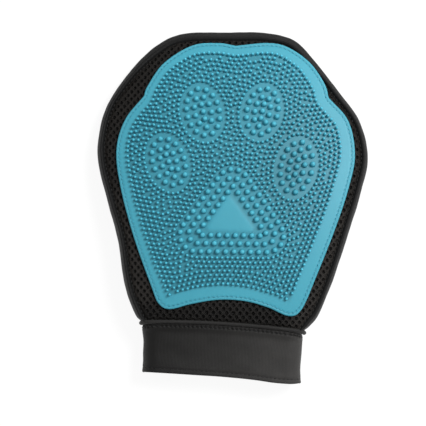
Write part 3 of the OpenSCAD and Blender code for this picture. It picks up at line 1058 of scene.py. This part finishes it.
# Where the wrist stitches pull the cuff in: place, reach, depth, and the painted shade in the dents
PULL_V, PULL_REACH, PULL_DEPTH, PULL_SHADE = 0.07, 0.036, 0.5, 0.65
HEM_SLOPE, HEM_DROP = math.tan(math.radians(2.57)), 30
HEM_FRONT = [
    (-58, 2.2), (-48, 2.9), (-24, 3.1), (-7, 3.2), (9, 2.9), (20, 2.4), (30, 1.6), (41, 1.5),
    (49, 1.9),
]
BEAD_R, BEAD_LUMPS = 0.6, 1.5


def stadium(turns, w, h, bow=1.0):
    """Points round a stadium, from the middle of its top, clockwise: x, z and the way out.
    A bow below 1 makes its ends squarer."""
    def bowed(share):
        return np.sign(share) * np.abs(share) ** bow

    flat, arc = w - h, math.pi * h / 2
    s = (np.asarray(turns) * 2 * (flat + arc) + flat / 2) % (2 * (flat + arc))
    lower = s >= flat + arc
    s = s - lower * (flat + arc)
    r = math.pi * np.clip((s - flat) / arc, 0, 1)
    side = 1 - 2 * lower
    x = side * (flat / 2 + np.minimum(s - flat, 0) + h / 2 * bowed(np.sin(r)))
    z = side * h / 2 * bowed(np.cos(r))
    return x, z, r + math.pi * lower


def way_out(a):
    return np.column_stack([np.sin(a), 0 * a, np.cos(a)])


def welt_line(turns):
    """The welt's centre line, which arches over the palm and hugs the wrist underneath."""
    x, z, a = stadium(turns, WELT_W, WELT_RISE, WRIST_BOW)
    up = np.clip(z / WELT_RISE + 0.5, 0, 1)
    x = WRIST[0] + x
    ahead = WELT_LOW_Y + (WELT_HIGH_Y - WELT_LOW_Y) * rise(up, 0, 0.4) + arch_at(x) * up
    ahead -= WELT_SIDE_DIP * 4 * up * (1 - up)
    return np.column_stack([x, wrist_at(x) + ahead, WELT_MIDDLE_Z + z]), a


def build_welt():
    count, sides = 320, 14
    line, a = welt_line(np.arange(count) / count)
    t = np.arange(sides) * 2 * math.pi / sides
    thicker = 1 + 0.22 * rise(np.abs(line[:, 0] - WRIST[0]), 40, 54)
    girth = WELT_D / 2 * thicker * (1 + 0.05 * ripple(line, 5, 4))
    ahead = np.array([0, 0.95, 0])
    rows = [
        p + g * (np.cos(t)[:, None] * out + np.sin(t)[:, None] * ahead)
        for p, out, g in zip(line, way_out(a), girth)
    ]
    around = np.linspace(0, CUFF_ROUND, count)
    uv = [(k, u) for u in around for k in np.linspace(0, 8, sides)]
    faces = flipped(grid_faces(count, sides, wrap_rows=True, wrap_columns=True))
    welt = make("wrist_piping", np.vstack(rows), faces, CUFF, uv)
    on_mitt(welt, "wrist_welt")
    return welt


def hem_y(x, front):
    """The hem's slight swing, which the underside follows less."""
    chord = WRIST[1] - HEM_DROP - (x - WRIST[0]) * HEM_SLOPE
    swing = np.interp(x, *smooth_curve(HEM_FRONT, 8).T) - 1.0
    return chord + swing * np.where(front, 1.0, 0.5)


def cuff_point(turns, v, shrink):
    """A point of the cuff: round it by turns, from the welt (v 0) to the hem (v 1)."""
    waist = math.sin(math.pi * v) ** 1.2 if 0 < v < 1 else 0
    ease = float(rise(v, 0, 0.22))
    w = np.interp(v, *CUFF_TAPER)
    h = (WELT_RISE - 0.2) * (1 - ease) + CUFF_H * ease - 1.4 * waist
    z0 = WELT_MIDDLE_Z * (1 - ease) + WRIST[2] * ease
    bow = WRIST_BOW + (1 - WRIST_BOW) * ease
    x, z, a = stadium(turns, w - 2 * shrink, h - 2 * shrink, bow)
    x = WRIST[0] + x
    top, _ = welt_line(turns)
    y = (top[:, 1] - 0.6) * (1 - v) + hem_y(x, z > 0) * v
    return np.column_stack([x, y, z0 + z]), a


def cuff_drift(p):
    """Soft unevenness of the cuff's stretch fabric."""
    return 0.55 * ripple(p * [1, 2.2, 1], 22, 5) + 0.10 * ripple(p * [1, 1.4, 1], 7, 6)


def bell(v, middle, width):
    return math.exp(-((v - middle) / width) ** 2)


def cuff_half(name, node_name, first, last):
    """One panel: its outer face, the fold at the hem, and its inner face back to the welt."""
    count = 300
    turns = np.linspace(first, last, count)
    around = turns * CUFF_ROUND
    needle = np.cos(math.pi * turns * CUFF_STITCHES) ** 6
    levels = [np.linspace(0, 0.2, 13), np.linspace(0.24, 0.86, 14), np.linspace(0.88, 1, 8)]
    rows, along, dark = [], [], []
    for v in np.concatenate(levels):
        p, a = cuff_point(turns, v, 0)
        pull = needle * bell(v, PULL_V, PULL_REACH)
        sink = 0.3 * bell(v, HEM_ROW_V, 0.02) + bell(v, 0, 0.035) + 0.6 * bell(v, WRIST_ROW_V, 0.02)
        rows.append(p + way_out(a) * (cuff_drift(p) - sink - PULL_DEPTH * pull)[:, None])
        along.append(v * CUFF_LONG)
        # Painted shade darkens the dents that the stitches pull.
        dark.append(1 - PULL_SHADE * pull)
    hem, out = rows[-1], way_out(a)
    for k in range(1, 6):
        t = math.pi * k / 6
        rows.append(hem - out * CUFF_T / 2 * (1 - math.cos(t)) - [0, 0.8 * math.sin(t), 0])
        along.append(CUFF_LONG + k * 0.5)
    for v in (1.0, 0.8, 0.6, 0.4, 0.2, 0.1, 0.0):
        rows.append(cuff_point(turns, v, CUFF_T)[0])
        along.append(CUFF_LONG + 4 + (1 - v) * CUFF_LONG)
    faces = grid_faces(len(rows), count, wrap_rows=True)
    faces.append(tuple(i * count for i in range(len(rows))))
    faces.append(tuple((i + 1) * count - 1 for i in range(len(rows)))[::-1])
    points = np.vstack(rows)
    # Painted shade on the cuff's left and painted light on its right, by x.
    tone = np.interp(points[:, 0], *CUFF_SIDE_SHADING)
    tone[:len(dark) * count] *= np.concatenate(dark)
    uv = np.stack(np.meshgrid(around, along), axis=2).reshape(-1, 2)
    piece = make(name, points, faces, CUFF, uv, tone)
    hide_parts(node_name)
    return piece


def cuff_row(name, node_name, v, length, thick, lift):
    """A row of stitches round the cuff."""
    turns = (np.arange(CUFF_STITCHES) + 0.5) / CUFF_STITCHES
    p, a = cuff_point(turns, v, 0)
    q, _ = cuff_point(turns + 0.001, v, 0)
    along = normed(q - p)
    out = way_out(a)
    out -= along * np.sum(out * along, axis=1)[:, None]
    shape = Shape()
    stitches(shape, p + out * (lift + cuff_drift(p))[:, None], along, out, length, thick)
    return black_piece(shape, name, node_name)


def cuff_bead(name, node_name, turn):
    """The overlocked bead inside one of the cuff's side seams."""
    sides = 10
    t = np.arange(sides) * 2 * math.pi / sides
    rows = []
    for v in np.linspace(0.04, 0.97, 60):
        p, a = cuff_point(np.array([turn]), v, CUFF_T + 0.45)
        r = BEAD_R * (1 + 0.18 * math.sin(v * CUFF_LONG * 2 * math.pi / BEAD_LUMPS))
        rows.append(p + r * (np.cos(t)[:, None] * way_out(a) + np.sin(t)[:, None] * [0, 0, 1]))
    shape = Shape()
    shape.add(np.vstack(rows), capped(len(rows), sides))
    return black_piece(shape, name, node_name)


def black_piece(shape, name, node_name):
    piece = shape.make(name, BLACK_THREAD)
    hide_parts(node_name)
    return piece


def build_cuff():
    front = cuff_half("cuff_front_panel", "cuff_front", -0.25, 0.25)
    back = cuff_half("cuff_back_panel", "cuff_back", 0.25, 0.75)
    rows = [
        cuff_row("wrist_stitch_row", "wrist_stitching", WRIST_ROW_V, 1.9, 0.8, -0.35),
        cuff_row("hem_stitch_row", "hem_stitching", HEM_ROW_V, 2.0, 0.5, -0.22),
    ]
    beads = [
        cuff_bead("cuff_bead_left", "cuff_seam_left", -0.25),
        cuff_bead("cuff_bead_right", "cuff_seam_right", 0.25),
    ]
    for piece in [front, back] + rows + beads:
        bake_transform(piece)
    return front, back, beads


# -------------------------------- camera, light and floor

CAMERA_TARGET = np.array([-12.8, -3.3, 12.0])
CAMERA_TILT, CAMERA_ROLL, CAMERA_DISTANCE = math.radians(3.6), math.radians(1.4), 700.0
CAMERA_LENS, CAMERA_SENSOR = 87.0, 36.0
FLOOR_HALF, FLOOR_Z = 15.0, -0.0003
FLOOR_GREY, FLOOR_GLOW = 0.16, 0.9
SKY = 0.40
LIGHTS = ("key", (0.54, 0.38, 0.86), 0.4, 9.0), ("fill", (-0.9, -0.1, 1.2), 1.0, 0.3)


def build_camera():
    """Looks almost straight down at the palm, a little from the cuff's side."""
    target = CAMERA_TARGET + SHIFT
    back = np.array([0, -math.sin(CAMERA_TILT), math.cos(CAMERA_TILT)])
    level_up = np.array([0, math.cos(CAMERA_TILT), math.sin(CAMERA_TILT)])
    right = np.array([math.cos(CAMERA_ROLL), 0, 0]) + math.sin(CAMERA_ROLL) * level_up
    up = np.cross(back, right)
    up /= np.linalg.norm(up)
    right = np.cross(up, back)
    camera = place_in_scene("camera", bpy.data.cameras.new("camera"))
    turn = Matrix([[right[i], up[i], back[i]] for i in range(3)]).to_4x4()
    camera.matrix_world = Matrix.Translation(Vector((target + CAMERA_DISTANCE * back) * MM)) @ turn
    camera.data.lens, camera.data.sensor_width = CAMERA_LENS, CAMERA_SENSOR
    camera.data.clip_start, camera.data.clip_end = 0.01, 20
    scene.camera = camera


def build_floor():
    mesh = bpy.data.meshes.new("floor")
    half, z = FLOOR_HALF, FLOOR_Z
    corners = [(-half, -half, z), (half, -half, z), (half, half, z), (-half, half, z)]
    mesh.from_pydata(corners, [], [(0, 1, 2, 3)])
    floor = place_in_scene("floor", mesh)
    white, _, shader = new_material("floor", (FLOOR_GREY,) * 3, 0.9, 0.1)
    shader.inputs["Emission Color"].default_value = (1, 1, 1, 1)
    shader.inputs["Emission Strength"].default_value = FLOOR_GLOW
    mesh.materials.append(white)


def build_lights():
    world = bpy.data.worlds.new("studio")
    scene.world = world
    world.use_nodes = True
    sky = world.node_tree.nodes["Background"]
    sky.inputs["Color"].default_value = (1, 1, 1, 1)
    sky.inputs["Strength"].default_value = SKY
    for name, spot, size, power in LIGHTS:
        light = bpy.data.lights.new(name, "AREA")
        light.energy, light.size = power, size
        lamp = place_in_scene(name, light)
        lamp.location = spot
        ray = Vector((0, 0, 0.01)) - Vector(spot)
        lamp.rotation_euler = ray.to_track_quat("-Z", "Y").to_euler()
    view = scene.view_settings
    view.view_transform, view.look, view.exposure, view.gamma = "Standard", "None", 0, 1


build_camera()
build_floor()
build_lights()
build_pad()
palm_ring = panel_ring(PANEL_INSET, PALM_AHEAD, PALM_ARCH)
back_ring = panel_ring(PANEL_INSET, BACK_AHEAD, 0)
palm_lining, palm_net = build_panel("palm", palm_ring, inset(pad_edge, 3.2), over_palm(-0.1), 12,
                                    over_palm(-1.3), over_palm(-3.0), 6.0)
back_lining, back_net = build_panel("back", back_ring, None, level(0.32), 6,
                                    level(BACK_TOP), level(1.2), 8.0)
band, band_length = build_band()
welt = build_welt()
cuff_front, cuff_back, cuff_beads = build_cuff()
